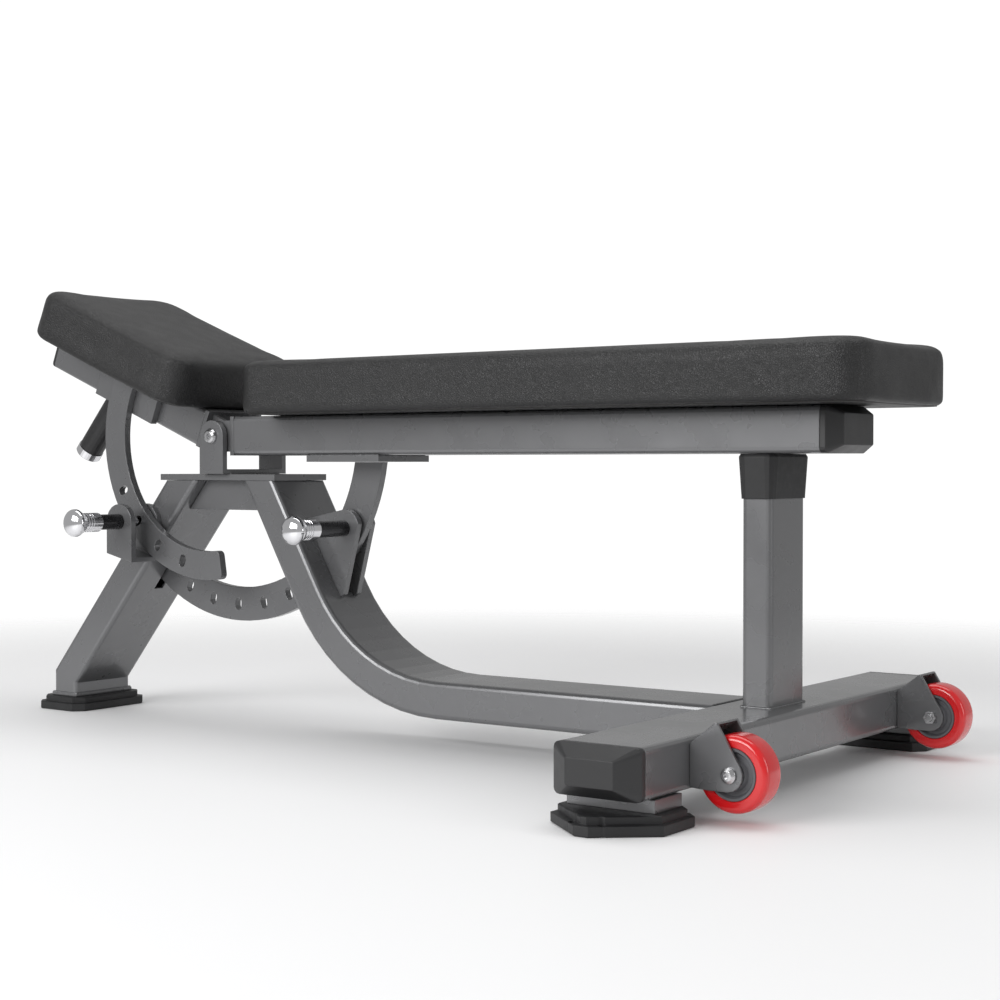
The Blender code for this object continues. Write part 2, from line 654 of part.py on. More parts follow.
def arc_plate(name, hole_radius, width, start, end, level, corner, holes, middle_y, parent):
    """A ring sector round the hinge from start to end. At the start it is cut off along the line that
    is level (positive towards increasing angle) from the hinge; its other end has round corners."""
    inner, outer = hole_radius - width / 2, hole_radius + width / 2
    outer_start, inner_start = (start + math.asin(level / r) for r in (outer, inner))
    steps = round(abs(end - start) / ARC_ANGLE_STEP)
    centre = (0, 0)
    outline = [(*p, 0) for p in arc_points(centre, outer, outer_start, end, steps)]
    back = [(*p, 0) for p in arc_points(centre, inner, end, inner_start, steps)]
    outline[-1] = (*outline[-1][:2], corner)
    back[0] = (*back[0][:2], corner)
    low, high = middle_y - ARC_THICKNESS / 2, middle_y + ARC_THICKNESS / 2
    item = prism(name, filleted(outline + back), low, high, "frame_paint", parent)
    for i, angle in enumerate(holes):
        outline = obround(angle, hole_radius, PIN_RADIUS + 2 * FIT, HOLE_STRETCH)
        cut(item, prism(f"{name}_hole_cutter_{i}", outline, low - WALL, high + WALL, parent=parent))


def pop_pin(name, angle, radius, face, barrel_length, tip):
    """Barrel fixed to a plate's outer face, spring inside it, and a sliding pin with a sleeve and knob."""
    centre = (radius * math.cos(angle), face, HINGE_HEIGHT + radius * math.sin(angle))
    out = (0, -1, 0)
    bore = PIN_RADIUS + FIT
    end_wall = 0.004
    barrel = [(SPRING_CHAMBER, GAP), (BARREL_RADIUS, GAP), (BARREL_RADIUS, barrel_length - 0.001),
              (BARREL_RADIUS - 0.001, barrel_length), (bore, barrel_length),
              (bore, barrel_length - end_wall), (SPRING_CHAMBER, barrel_length - end_wall)]
    turned(f"{name}_barrel", barrel, centre, out, "barrel", loop=True)
    shoulder = barrel_length - end_wall - PIN_TRAVEL
    inside = face - tip
    lap = barrel_length - SLEEVE_LAP
    floor = lap + SLEEVE_DEPTH
    sleeve_bore = BARREL_RADIUS + FIT
    groove = 0.0012
    profile = [(PIN_RADIUS - 0.001, inside), (PIN_RADIUS, inside + 0.001), (PIN_RADIUS, shoulder - 0.003),
               (SPRING_CHAMBER - 2 * FIT, shoulder - 0.003), (SPRING_CHAMBER - 2 * FIT, shoulder),
               (PIN_RADIUS, shoulder), (PIN_RADIUS, floor), (sleeve_bore, floor), (sleeve_bore, lap),
               (SLEEVE_RADIUS - 0.0005, lap), (SLEEVE_RADIUS, lap + 0.0005)]
    for i in range(3):
        at = lap + 0.015 + 0.004 * i
        profile += [(SLEEVE_RADIUS, at), (SLEEVE_RADIUS - groove, at + 0.0009),
                    (SLEEVE_RADIUS, at + 0.0018)]
    rim = lap + KNOB_LENGTH - 0.010
    profile += [(SLEEVE_RADIUS, lap + 0.0275), (KNOB_RADIUS - 0.002, rim - 0.004), (KNOB_RADIUS, rim - 0.001)]
    for i in range(1, 5):
        turn = math.pi / 2 * i / 5
        profile.append((KNOB_RADIUS * math.cos(turn), rim + 0.010 * math.sin(turn)))
    turned(f"{name}_knob", profile, centre, out, "chrome")
    coil_spring(f"{name}_spring", centre, barrel_length - end_wall - GAP, shoulder + GAP)


def coil_spring(name, centre, outer_end, inner_end):
    """An open coil round the pin, squeezed between its shoulder and the barrel's end wall."""
    mean = (PIN_RADIUS + SPRING_CHAMBER) / 2
    run = outer_end - inner_end - 2 * SPRING_WIRE
    steps = SPRING_TURNS * 8
    rings = []
    for i in range(steps + 1):
        turn = 2 * math.pi * SPRING_TURNS * i / steps
        spoke = Vector((math.cos(turn), 0, math.sin(turn)))
        middle = Vector(centre) + spoke * mean - Vector((0, inner_end + SPRING_WIRE + run * i / steps, 0))
        rings.append([middle + spoke * a - Vector((0, b, 0)) for a, b in circle(SPRING_WIRE, 5)])
    loft(name, rings, "steel")


def seat_pin():
    """Clevis on the front leg's side, open at the top, with the arc plate running through it."""
    x = SEAT_ARC_HOLE_RADIUS * math.cos(SEAT_PIN_ANGLE)
    z = HINGE_HEIGHT + SEAT_ARC_HOLE_RADIUS * math.sin(SEAT_PIN_ANGLE)
    half = SEAT_BRACKET_WIDTH / 2
    web = BRACKET_WEB
    outer = SEAT_ARC_HOLE_RADIUS + SEAT_ARC_WIDTH / 2
    low = HINGE_HEIGHT - math.sqrt(outer ** 2 - (x + half) ** 2) - SLOT_CLEAR - web
    fall = SEAT_BRACKET_FALL
    outline = [(x - half, low + fall), (x + half, low)] + list(arc_points((x, z), half, 0, math.pi, 10))
    near, far = SEAT_PLATE_Y, -TUBE_WIDTH / 2 - GAP
    clevis = prism("seat_pin_clevis", outline, near, far, "frame_paint")
    channel = [(x - 2 * half, low + fall * 1.5 + web), (x + 2 * half, low - fall / 2 + web),
               (x + 2 * half, z + 2 * half), (x - 2 * half, z + 2 * half)]
    bore = PIN_RADIUS + FIT
    cut(clevis, prism("seat_clevis_channel_cutter", channel, near + BRACKET_PLATE, far - BRACKET_PLATE),
        rod_cutter("seat_clevis_bore_cutter", bore, (x, near, z), (0, 1, 0), 3 * SEAT_BRACKET_DEPTH))
    tip = SEAT_ARC_Y - ARC_THICKNESS / 2 - 0.001
    pop_pin("seat_pin", SEAT_PIN_ANGLE, SEAT_ARC_HOLE_RADIUS, near, SEAT_BARREL, tip)


def beam_face(run):
    """The point of the main beam's upper face, with a gap, at a run from where the bend starts."""
    radius = BEAM_BEND_RADIUS - BEAM_DEPTH / 2 - GAP
    tangent = BEAM_BEND_RADIUS * math.tan(BEAM_ANGLE / 2)
    centre = Vector((BEAM_VERTEX_X + tangent, BEAM_HEIGHT + BEAM_BEND_RADIUS))
    angle = BEAM_ANGLE + min(run, 0) / radius
    up = Vector((-math.cos(angle), math.sin(angle)))
    return centre - Vector((math.sin(angle), math.cos(angle))) * radius + up * max(run, 0)


def back_pin():
    """Two gussets on the main beam's upper face, with the arc plate between them."""
    radius = BACK_ARC_HOLE_RADIUS
    x = radius * math.cos(BACK_PIN_ANGLE)
    z = HINGE_HEIGHT + radius * math.sin(BACK_PIN_ANGLE)
    up = Vector((-math.cos(BEAM_ANGLE), math.sin(BEAM_ANGLE)))
    side = Vector((up.y, -up.x))
    pin = Vector((x, z))
    along = (pin - beam_face(0)).dot(up)
    foot_end = beam_face(along - BACK_GUSSET_DROP)
    cap = [pin + Matrix.Rotation(math.radians(a), 2) @ side * BACK_GUSSET_RADIUS for a in range(-16, 61, 8)]
    corners = [foot_end, foot_end + side * 0.006] + cap + [beam_face(along + BACK_GUSSET_RISE), beam_face(0)]
    outline = [tuple(p) for p in corners]
    near = BACK_PLATE_Y
    for name, start in (("right", near), ("left", -near - BRACKET_PLATE)):
        gusset = prism(f"back_pin_gusset_{name}", outline, start, start + BRACKET_PLATE, "frame_paint")
        if start == near:
            bore = PIN_RADIUS + FIT
            cut(gusset, rod_cutter("back_gusset_bore_cutter", bore, (x, near, z), (0, 1, 0), 0.03))
    tip = -ARC_THICKNESS / 2 - 0.001
    pop_pin("back_pin", BACK_PIN_ANGLE, radius, near, BACK_BARREL, tip)


# Seat and back

def straight_tube(name, start, end, parent):
    outer = rounded_rectangle(TUBE_WIDTH, TUBE_DEPTH, CORNER)
    inner = rounded_rectangle(TUBE_WIDTH - 2 * WALL, TUBE_DEPTH - 2 * WALL, CORNER - WALL)
    rings = [[[Vector((x, a, b)) for a, b in outline] for x in (start, end)] for outline in (outer, inner)]
    hollow_loft(name, rings[0], rings[1], "frame_paint", parent)


def hinge_lugs(name, direction, outside, parent):
    """An end plate on the tube with two round-nosed lugs that turn on the hinge bolt."""
    far = direction * (HINGE_REACH + LUG_PLATE)
    half_turn = arc_points((0, 0), HINGE_EYE_RADIUS, -math.pi / 2, math.pi / 2, 10)
    nose = [(-direction * x, z) for x, z in half_turn]
    outline = nose + [(far, HINGE_EYE_RADIUS), (far, -HINGE_EYE_RADIUS)]
    lugs = prism(name, outline, -outside, outside, "frame_paint", parent)
    near = direction * HINGE_REACH
    plate = prism(f"{name}_plate", box_outline(*sorted((near, far)), -TUBE_DEPTH / 2, TUBE_DEPTH / 2),
                  -TUBE_WIDTH / 2, TUBE_WIDTH / 2, None, parent)
    weld = lugs.modifiers.new("end plate", "BOOLEAN")
    weld.operation = "UNION"
    weld.solver = "EXACT"
    weld.object = plate
    inside = outside - LUG_WALL
    space = box_outline(*sorted((-direction * 0.05, near)), -0.05, 0.05)
    cut(lugs, prism(f"{name}_gap_cutter", space, -inside, inside, parent=parent),
        rod_cutter(f"{name}_bore_cutter", HINGE_BOLT_RADIUS + FIT, (0, 0, 0), (0, 1, 0), 0.2, parent))


def pad(name, start, end, parent):
    """A plywood board, and a cushion that wraps round the board's top and edges."""
    low = TUBE_DEPTH / 2 + GAP
    middle = (start + end) / 2
    length = abs(end - start)
    layers = []
    for inset, z in ((PAD_EDGE / 3, 0), (0, PAD_EDGE / 2), (0, PAD_THICKNESS - PAD_EDGE),
                     (PAD_EDGE * 0.3, PAD_THICKNESS - PAD_EDGE * 0.3), (PAD_EDGE, PAD_THICKNESS)):
        outline = rounded_rectangle(length - 2 * inset, PAD_WIDTH - 2 * inset, PAD_CORNER - inset, 6)
        layers.append([Vector((middle + a, b, low + z)) for a, b in outline])
    cushion = loft(f"{name}_cushion", layers, "vinyl", parent)
    board_rings = []
    for grow, z0, z1 in ((0, low, low + BOARD_THICKNESS), (GAP, low - 0.01, low + BOARD_THICKNESS + GAP)):
        inset = BOARD_INSET - grow
        outline = rounded_rectangle(length - 2 * inset, PAD_WIDTH - 2 * inset, PAD_CORNER - inset, 6)
        board_rings.append([[Vector((middle + a, b, z)) for a, b in outline] for z in (z0, z1)])
    loft(f"{name}_board", board_rings[0], "plywood", parent)
    cut(cushion, loft(f"{name}_pocket_cutter", board_rings[1], parent=parent))


def back_rest():
    parent = hinge_empty("back_hinge", 0)
    straight_tube("back_tube", HINGE_REACH + LUG_PLATE + GAP, BACK_TUBE_END, parent)
    hinge_lugs("back_hinge_lugs", 1, BACK_LUG_OUTSIDE, parent)
    pyramid_cap("back_tube_cap", lambda a, b, out: Vector((BACK_TUBE_END + out, a, b)),
                TUBE_WIDTH, TUBE_DEPTH, (0.014, 0.0085), parent)
    top = -TUBE_DEPTH / 2 - GAP
    prism("back_doubler", box_outline(DOUBLER_START, DOUBLER_END, top - DOUBLER, top),
          -TUBE_WIDTH / 2, TUBE_WIDTH / 2, "frame_paint", parent)
    holes = [BACK_PIN_ANGLE - BACK_STEP * i for i in range(BACK_HOLES)]
    arc_plate("back_arc", BACK_ARC_HOLE_RADIUS, BACK_ARC_WIDTH, 2 * math.pi, BACK_ARC_END,
              top - DOUBLER - GAP, 0.004, holes, 0, parent)
    pad("back", BACK_PAD_START, BACK_PAD_END, parent)


def handle(parent):
    """A steel core welded under the seat tube, a rubber grip and a chrome end ring."""
    lean = Vector((-math.sin(HANDLE_LEAN), 0, -math.cos(HANDLE_LEAN)))
    base = Vector((-HANDLE_START, 0, -TUBE_DEPTH / 2 - GAP))
    core = turned("handle_core", [(HANDLE_RADIUS, -0.02), (HANDLE_RADIUS, GRIP_END + 0.006)], base, lean,
                  "frame_paint", parent)
    trim = box_outline(base.x - 0.05, base.x + 0.05, base.z, base.z + 0.05)
    cut(core, prism("handle_trim_cutter", trim, -0.03, 0.03, parent=parent))
    bore = HANDLE_RADIUS + FIT
    grip = [(bore, GRIP_START), (GRIP_RADIUS - 0.0015, GRIP_START), (GRIP_RADIUS, GRIP_START + 0.0015),
            (GRIP_RADIUS, GRIP_END), (bore, GRIP_END)]
    turned("handle_grip", grip, base, lean, "rubber", parent, loop=True)
    start = GRIP_END + GAP
    ring = [(bore, start), (GRIP_RING_RADIUS, start), (GRIP_RING_RADIUS, HANDLE_LENGTH - 0.0015),
            (GRIP_RING_RADIUS - 0.0015, HANDLE_LENGTH), (0.002, HANDLE_LENGTH),
            (0.002, GRIP_END + 0.007), (bore, GRIP_END + 0.007)]
    turned("handle_ring", ring, base, lean, "chrome", parent, segments=32, loop=True)


def seat():
    parent = hinge_empty("seat_hinge", SEAT_TILT)
    straight_tube("seat_tube", -SEAT_TUBE_END, -HINGE_REACH - LUG_PLATE - GAP, parent)
    hinge_lugs("seat_hinge_lugs", -1, SEAT_LUG_OUTSIDE, parent)
    outline = rounded_rectangle(TUBE_WIDTH, TUBE_DEPTH, CORNER)
    ends = (-SEAT_TUBE_END - SEAT_CAP, -SEAT_TUBE_END - GAP)
    cap = [[Vector((x, a, b)) for a, b in outline] for x in ends]
    loft("seat_tube_cap", cap, "black_plastic", parent)
    side = -TUBE_WIDTH / 2 - GAP
    prism("seat_arc_spacer", box_outline(-SPACER_END, -SPACER_START, -TUBE_DEPTH / 2, TUBE_DEPTH / 2),
          side - ARC_THICKNESS, side, "frame_paint", parent)
    first = SEAT_PIN_ANGLE + SEAT_TILT
    holes = [first + SEAT_STEP * i for i in range(-1, SEAT_HOLES - 1)]
    arc_plate("seat_arc", SEAT_ARC_HOLE_RADIUS, SEAT_ARC_WIDTH, math.pi, math.pi + SEAT_ARC_END,
              -TUBE_DEPTH / 2, 0.007, holes, SEAT_ARC_Y, parent)
    handle(parent)
    pad("seat", -SEAT_PAD_END, -SEAT_PAD_START, parent)


def main():
    clear_scene()
    main_beam()
    front_leg()
    top_plate()
    leg_brace()
    hinge_bracket()
    hinge_bolt()
    crossbar()
    post()
    feet()
    wheels()
    seat_pin()
    back_pin()
    back_rest()
    seat()


main()
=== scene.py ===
"""Looks of the adjustable weight bench: paint, upholstery, turned metal, wheels, welds and studio.

Metres, +Z up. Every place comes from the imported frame. It runs as a script and needs no window.
"""

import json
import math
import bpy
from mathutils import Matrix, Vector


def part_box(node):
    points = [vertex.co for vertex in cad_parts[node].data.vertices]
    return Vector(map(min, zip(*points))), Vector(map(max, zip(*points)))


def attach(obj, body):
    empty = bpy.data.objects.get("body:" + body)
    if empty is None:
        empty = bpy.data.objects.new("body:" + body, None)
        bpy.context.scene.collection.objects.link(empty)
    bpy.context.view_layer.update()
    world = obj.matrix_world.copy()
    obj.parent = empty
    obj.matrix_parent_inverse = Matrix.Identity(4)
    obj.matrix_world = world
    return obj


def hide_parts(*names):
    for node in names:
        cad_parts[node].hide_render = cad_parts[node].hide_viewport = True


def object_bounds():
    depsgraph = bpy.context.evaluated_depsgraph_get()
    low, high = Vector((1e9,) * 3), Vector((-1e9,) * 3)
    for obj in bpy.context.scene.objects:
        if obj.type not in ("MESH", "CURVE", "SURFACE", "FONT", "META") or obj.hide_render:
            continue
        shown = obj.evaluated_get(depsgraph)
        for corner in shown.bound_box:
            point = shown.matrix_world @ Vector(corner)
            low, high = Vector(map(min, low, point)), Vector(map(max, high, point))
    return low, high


bl_info = {
    "name": "Weight Bench Finish",
    "version": (1, 0, 0),
    "blender": (4, 5, 0),
    "location": "3D View > Sidebar > Bench",
    "description": "Paint, pads, wheels, pull knobs and weld beads for an adjustable weight bench",
    "category": "Object",
}

import bmesh
import bpy
from bpy.props import FloatProperty, FloatVectorProperty, IntProperty, PointerProperty
from mathutils import Matrix, Vector

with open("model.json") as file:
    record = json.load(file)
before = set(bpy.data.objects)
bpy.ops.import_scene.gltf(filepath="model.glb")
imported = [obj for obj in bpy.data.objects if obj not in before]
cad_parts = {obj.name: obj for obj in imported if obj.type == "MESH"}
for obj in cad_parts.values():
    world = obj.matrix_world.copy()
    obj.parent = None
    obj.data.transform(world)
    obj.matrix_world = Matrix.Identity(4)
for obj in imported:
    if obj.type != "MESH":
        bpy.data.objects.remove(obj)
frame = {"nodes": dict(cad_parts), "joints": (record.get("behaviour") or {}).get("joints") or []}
CAD_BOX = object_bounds()

HINGE = Vector(next(j["pos_m"] for j in frame["joints"] if j["name"] == "back_tilt"))
SEAT_TILT = math.radians(22)

# Sizes that the CAD parts share with what is made here
GAP = 0.0003            # between pieces that touch
BEAM_DEPTH = 0.045
TUBE_CORNER = 0.006
HALF_TUBE = 0.050       # half the width of a tube across the bench
PLATE_LIP = 0.0015      # how far the front base plate stands out round the leg

# Tyre and hub
TYRE_EDGE = 0.0062      # radius of the tread's edges
TYRE_CROWN = 0.0003     # how much higher the tread is in the middle
TREAD_FLAT = 0.0012     # half the width of the level stretch in the middle
TYRE_BEVEL = 0.0008
HUB_DISH = 0.004
HUB_LIP = 0.0006
HUB_RING = 0.003        # width of the hub's raised rings

# Pull knob: radii, and distances from the top of its dome
SHANK = 0.0047
COLLAR = 0.0070
SLEEVE = 0.0125
SLEEVE_BORE = 0.0103
SLEEVE_END = 0.048
SLEEVE_FLOOR = 0.022
DOME = 0.010
GROOVE_START = 0.0242
GROOVE_STEP = 0.004
GROOVE_DEPTH = 0.0012
GROOVE_WIDTH = 0.0018
GROOVES = 3
COLLAR_START = SLEEVE_END + 0.016
COLLAR_END = SLEEVE_END + 0.019

CLOTH_FRAMES = 20

# Which finish each kind of CAD part wears, by the start of its name. The first match counts.
FINISHES = (
    ("seat_pin_barrel", "dark_steel"), ("back_pin_barrel", "dark_steel"),
    ("seat_pin_spring", "zinc_steel"), ("back_pin_spring", "zinc_steel"),
    ("seat_pin_knob", "chrome"), ("back_pin_knob", "chrome"), ("handle_ring", "chrome"),
    ("handle_grip", "grip_rubber"), ("post_bumper", "black_rubber"), ("front_foot", "black_rubber"),
    ("rear_foot", "black_rubber"), ("crossbar_cap", "end_cap"), ("back_tube_cap", "end_cap"),
    ("seat_tube_cap", "end_cap"), ("wheel_tyre", "red_tyre"), ("wheel_hub", "hub_plastic"),
    ("wheel_bearing", "zinc_steel"), ("wheel_axle", "zinc_steel"), ("wheel_nut", "zinc_steel"),
    ("hinge_bolt", "zinc_steel"), ("hinge_nut", "zinc_steel"), ("hinge_spacer", "zinc_steel"),
    ("seat_board", "plywood"), ("back_board", "plywood"),
    ("seat_cushion", "black_vinyl"), ("back_cushion", "black_vinyl"), ("", "frame_paint"),
)


class BenchPaintSettings(bpy.types.PropertyGroup):
    """Colours and finishes of the hard parts."""
    frame_colour: FloatVectorProperty(
        name="Frame colour", description="Grey of the painted steel", subtype="COLOR",
        default=(0.165, 0.166, 0.171), min=0, max=1)
    frame_roughness: FloatProperty(
        name="Frame roughness", description="How dull the paint is", default=0.28, min=0, max=1)
    edge_radius: FloatProperty(
        name="Edge radius", description="How round the painted edges look", unit="LENGTH",
        default=0.0016)
    tyre_colour: FloatVectorProperty(
        name="Tyre colour", description="Red of the polyurethane tyres", subtype="COLOR",
        default=(0.62, 0.006, 0.009), min=0, max=1)


class BenchPadSettings(bpy.types.PropertyGroup):
    """Sizes of the seat and back cushions."""
    cloth_mesh: FloatProperty(
        name="Cloth mesh", description="Side of one face of the simulated cover", unit="LENGTH",
        default=0.006)
    tuck: FloatProperty(
        name="Tuck", description="How much smaller the foam starts than its cover", unit="LENGTH",
        default=0.002)
    top_edge: FloatProperty(
        name="Top edge", description="Radius of the top edge", unit="LENGTH", default=0.013)
    low_edge: FloatProperty(
        name="Low edge", description="Radius where the cover folds under", unit="LENGTH",
        default=0.004)
    corner: FloatProperty(
        name="Corner", description="Radius of the corners seen from above", unit="LENGTH",
        default=0.040)
    pressure: FloatProperty(
        name="Foam pressure", description="How hard the foam pushes on its cover", default=4.0)
    move_limit: FloatProperty(
        name="Move limit", description="The furthest a point of the cover may swell",
        unit="LENGTH", default=0.0020)


class BenchMetalSettings(bpy.types.PropertyGroup):
    """Sizes of the turned pieces and the weld beads."""
    segments: IntProperty(
        name="Segments", description="Faces round a turned piece", default=72, min=16, max=180)
    bead_radius: FloatProperty(
        name="Weld radius", description="Radius of a weld bead", unit="LENGTH", default=0.0017)
    bead_step: FloatProperty(
        name="Weld step", description="Distance from one ripple to the next", unit="LENGTH",
        default=0.0019)


class BenchStudioSettings(bpy.types.PropertyGroup):
    """Camera, floor and light."""
    lens: FloatProperty(name="Lens", description="Focal length in millimetres", default=66.21)
    heading: FloatProperty(
        name="Heading", description="How far the view is turned from straight along +Y",
        subtype="ANGLE", default=math.radians(35.34))
    pitch: FloatProperty(
        name="Pitch", description="How far the view looks down", subtype="ANGLE",
        default=math.radians(1.085))
    eye: FloatVectorProperty(
        name="Eye", description="Camera's place from the floor under the hinge line",
        subtype="TRANSLATION", default=(1.6738, -1.7773, 0.3376))
    world_light: FloatProperty(
        name="Surrounding light", description="Strength of the white surroundings", default=0.42)


# Materials

def add(tree, kind, inputs=None, **settings):
    """A new node. An input's value is a number, a colour or the socket that feeds it."""
    item = tree.nodes.new(kind)
    for key, value in settings.items():
        setattr(item, key, value)
    for key, value in (inputs or {}).items():
        if isinstance(value, bpy.types.NodeSocket):
            tree.links.new(value, item.inputs[key])
        else:
            item.inputs[key].default_value = value
    return item


def tinted(colour, factor):
    return (*(min(c * factor, 1) for c in colour), 1)


def noise(tree, place, scale, detail=3.0, roughness=0.55):
    settings = {"Vector": place, "Scale": scale, "Detail": detail, "Roughness": roughness}
    return add(tree, "ShaderNodeTexNoise", settings).outputs["Fac"]


def ramp(tree, factor, low, high, start=0.3, end=0.7):
    item = add(tree, "ShaderNodeValToRGB", {"Fac": factor})
    first, last = item.color_ramp.elements
    first.position, first.color = start, low
    last.position, last.color = end, high
    return item.outputs["Color"]


def spread(tree, factor, low, high):
    settings = {"Value": factor, "From Min": 0.3, "From Max": 0.7, "To Min": low, "To Max": high}
    return add(tree, "ShaderNodeMapRange", settings).outputs["Result"]


def surface(name, colour, roughness, metallic=0.0, coat=0.0, cloud=9.0, tint=0.06, dull=0.05,
            grain=700.0, depth=0.00004, edge=0.0, height=None):
    """A finish with cloudy tint and gloss, a fine grain, and edges that look as round as edge."""
    mat = bpy.data.materials.new(f"{name}_finish")
    mat.use_nodes = True
    tree = mat.node_tree
    shader = tree.nodes["Principled BSDF"]
    place = add(tree, "ShaderNodeTexCoord").outputs["Object"]
    cloudy = noise(tree, place, cloud)
    tree.links.new(ramp(tree, cloudy, tinted(colour, 1 - tint), tinted(colour, 1 + tint)),
                   shader.inputs["Base Color"])
    handled = noise(tree, place, cloud * 4)
    tree.links.new(spread(tree, handled, roughness - dull, roughness + dull),
                   shader.inputs["Roughness"])
    rise = height(tree, place) if height else noise(tree, place, grain, 2.0)
    bump = add(tree, "ShaderNodeBump", {"Height": rise, "Distance": depth, "Strength": 0.6})
    if edge:
        rounded = add(tree, "ShaderNodeBevel", {"Radius": edge}, samples=6)
        tree.links.new(rounded.outputs["Normal"], bump.inputs["Normal"])
    tree.links.new(bump.outputs["Normal"], shader.inputs["Normal"])
    shader.inputs["Metallic"].default_value = metallic
    shader.inputs["Coat Weight"].default_value = coat
    shader.inputs["Coat Roughness"].default_value = 0.12
    return mat


def vinyl_grain(tree, place):
    """Small pebbles with creases between them, in two sizes."""
    pebbles = add(tree, "ShaderNodeTexVoronoi", {"Vector": place, "Scale": 430.0},
                  feature="DISTANCE_TO_EDGE").outputs["Distance"]
    round_tops = add(tree, "ShaderNodeMapRange", {"Value": pebbles, "From Max": 0.25})
    fine = noise(tree, place, 1300.0, 2.0)
    return add(tree, "ShaderNodeMath", {0: round_tops.outputs["Result"], 1: fine},
               operation="ADD").outputs["Value"]


def brushed_rings(tree, place):
    """Fine turning marks across the pins' and knobs' own direction, Y."""
    stretched = add(tree, "ShaderNodeMapping", {"Vector": place, "Scale": (60.0, 5200.0, 60.0)})
    return noise(tree, stretched.outputs["Vector"], 1.0, 2.0)


def plies(tree, place):
    """Wood fibres that run along the bench, under a black stain."""
    stretched = add(tree, "ShaderNodeMapping", {"Vector": place, "Scale": (6.0, 240.0, 240.0)})
    return noise(tree, stretched.outputs["Vector"], 1.0, 5.0)


def make_finishes(paint):
    black = (0.013, 0.013, 0.014)
    finishes = {
        "frame_paint": surface("frame_paint", paint.frame_colour, paint.frame_roughness,
                               metallic=0.50, coat=0.35, cloud=5.0, tint=0.04, dull=0.03,
                               grain=520.0, depth=0.00003, edge=paint.edge_radius),
        "end_cap": surface("end_cap", (0.019, 0.019, 0.020), 0.40, grain=1500.0, depth=0.00005,
                           edge=0.0015),
        "black_rubber": surface("black_rubber", (0.011, 0.011, 0.012), 0.52, cloud=30.0,
                                tint=0.15, grain=900.0, depth=0.00007, edge=0.0012),
        "grip_rubber": surface("grip_rubber", black, 0.42, cloud=40.0, tint=0.12, grain=1100.0,
                               depth=0.00006, edge=0.001),
        "zinc_steel": surface("zinc_steel", (0.56, 0.56, 0.57), 0.24, metallic=1.0, cloud=60.0,
                              tint=0.08, depth=0.00002, edge=0.0006),
        "dark_steel": surface("dark_steel", (0.045, 0.045, 0.048), 0.27, metallic=0.85,
                              cloud=50.0, tint=0.12, depth=0.00002, edge=0.0006,
                              height=brushed_rings),
        "chrome": surface("chrome", (0.80, 0.80, 0.82), 0.09, metallic=1.0, cloud=30.0,
                          tint=0.02, dull=0.03, depth=0.000008, height=brushed_rings),
        "red_tyre": surface("red_tyre", paint.tyre_colour, 0.20, coat=0.5, cloud=35.0,
                            tint=0.05, dull=0.04, grain=600.0, depth=0.00003),
        "hub_plastic": surface("hub_plastic", (0.10, 0.10, 0.108), 0.42, cloud=60.0,
                               grain=1400.0, depth=0.00005),
        "plywood": surface("plywood", (0.016, 0.015, 0.014), 0.70, cloud=14.0, tint=0.22,
                           depth=0.0002, height=plies),
        "black_vinyl": surface("black_vinyl", (0.0065, 0.0065, 0.0069), 0.40, coat=0.03,
                               cloud=12.0, tint=0.12, dull=0.04, depth=0.0005,
                               height=vinyl_grain),
    }
    finishes["red_tyre"].node_tree.nodes["Principled BSDF"].inputs["IOR"].default_value = 1.52
    return finishes


def finish(name):
    return bpy.data.materials[f"{name}_finish"]


def finish_of(node):
    return next(look for start, look in FINISHES if node.startswith(start))


# Shapes

def mesh_object(name, bm, look, sharp=math.radians(35)):
    bmesh.ops.recalc_face_normals(bm, faces=bm.faces)
    mesh = bpy.data.meshes.new(name)
    bm.to_mesh(mesh)
    bm.free()
    mesh.shade_smooth()
    mesh.set_sharp_from_angle(angle=sharp)
    mesh.materials.append(finish(look))
    item = bpy.data.objects.new(name, mesh)
    bpy.context.scene.collection.objects.link(item)
    return item


def skin(bm, rings, loop=False):
    """Quads between rings of points. Without loop, the first and last ring are closed."""
    rows = [[bm.verts.new(p) for p in ring] for ring in rings]
    pairs = list(zip(rows, rows[1:])) + ([(rows[-1], rows[0])] if loop else [])
    for low, high in pairs:
        for i in range(len(low)):
            j = (i + 1) % len(low)
            bm.faces.new((low[i], low[j], high[j], high[i]))
    if not loop:
        bm.faces.new(rows[0])
        bm.faces.new(rows[-1])


def turned(name, look, profile, centre, axis, segments, loop=False):
    """Profile points are (radius, distance along the axis). A looped profile is a ring."""
    turn = Vector((0, 0, 1)).rotation_difference(Vector(axis)).to_matrix()
    angles = [2 * math.pi * i / segments for i in range(segments)]
    rings = [[Vector(centre) + turn @ Vector((r * math.cos(a), r * math.sin(a), along))
              for a in angles] for r, along in profile]
    bm = bmesh.new()
    skin(bm, rings, loop)
    return mesh_object(name, bm, look)


def quarter(centre, radius, start, steps):
    """Points of a quarter turn from an angle in degrees, as (radius, along) pairs."""
    for i in range(steps + 1):
        angle = math.radians(start + 90 * i / steps)
        yield centre[0] + radius * math.cos(angle), centre[1] + radius * math.sin(angle)


def middle_of(node):
    low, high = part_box(node)
    return (low + high) / 2


def stand_for(piece, node, body):
    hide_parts(node)
    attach(piece, body)


# Pads

def pad_outline(length, width, corner, steps=10):
    points = []
    for turn, (x, y) in enumerate(((1, 1), (-1, 1), (-1, -1), (1, -1))):
        centre = (x * (length / 2 - corner), y * (width / 2 - corner))
        points += quarter(centre, corner, 90 * turn, steps)
    return points


